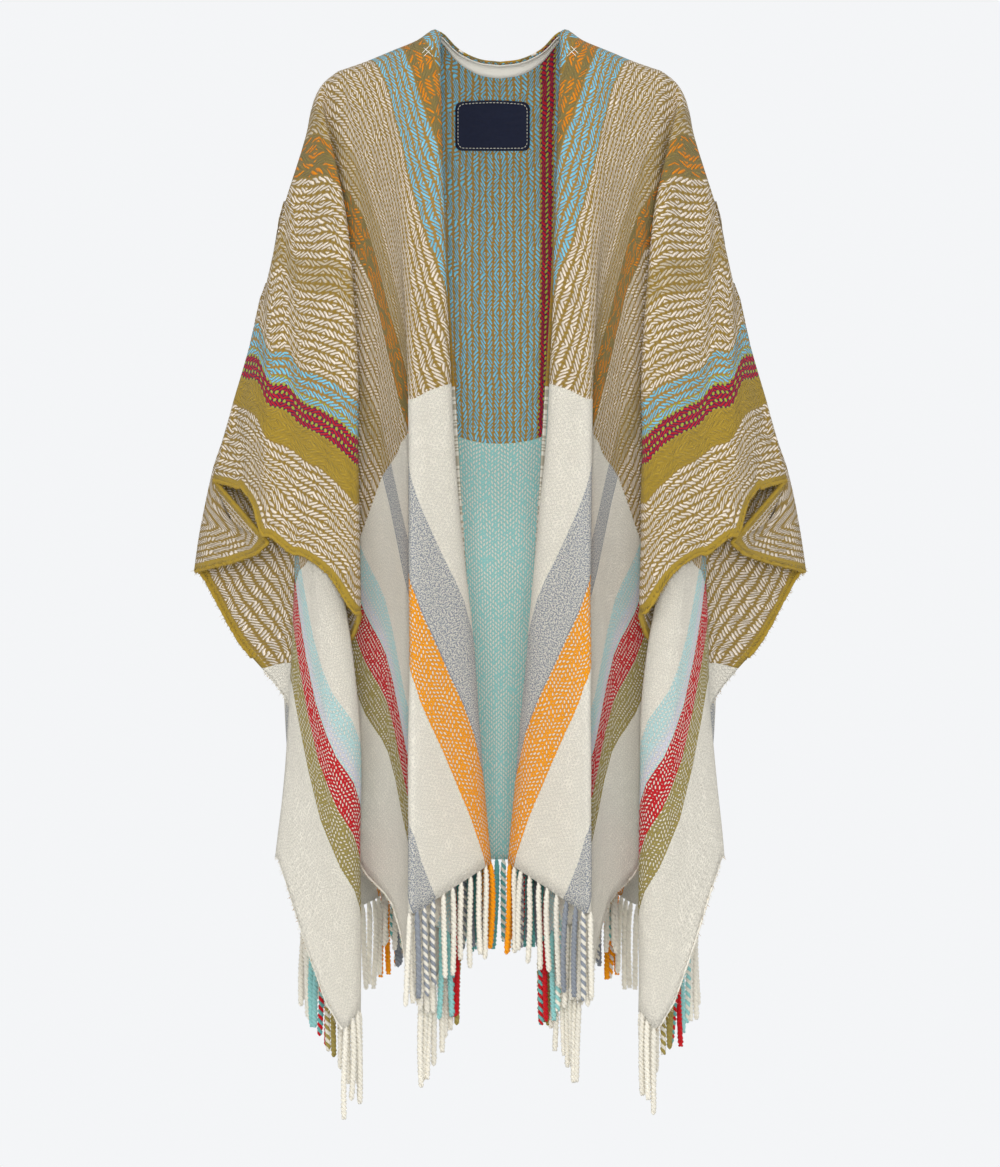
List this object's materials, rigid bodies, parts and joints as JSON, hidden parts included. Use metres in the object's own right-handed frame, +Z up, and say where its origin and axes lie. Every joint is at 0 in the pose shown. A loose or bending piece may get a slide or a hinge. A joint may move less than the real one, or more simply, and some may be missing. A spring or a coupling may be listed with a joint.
{
  "type": "blanket poncho",
  "caption": "Open-front striped wool blanket poncho, worn pose, with draped sleeves, neck tape, label patch and a corded fringe along both hems.",
  "frame": {"origin": "midway between the two neck points on the shoulder line, where the wearer's neck and shoulders carry the cloth", "axes": "+Z up, the front faces -Y, +X is the wearer's left"},
  "size_m": [0.7355, 0.3457, 1.301],
  "materials": {
    "wool": "heavy striped herringbone wool, fuzzy and matt",
    "cotton": "plain cream herringbone tape",
    "satin": "bare navy woven patch with pale stitching",
    "yarn": "two-ply twisted wool cords in the stripe colours"
  },
  "bodies": {
    "root": {"blanket": "wool", "neck_tape": "cotton", "label": "satin", "fringe_front_right": "yarn", "fringe_front_left": "yarn", "fringe_back": "yarn"}
  },
  "joints": []
}
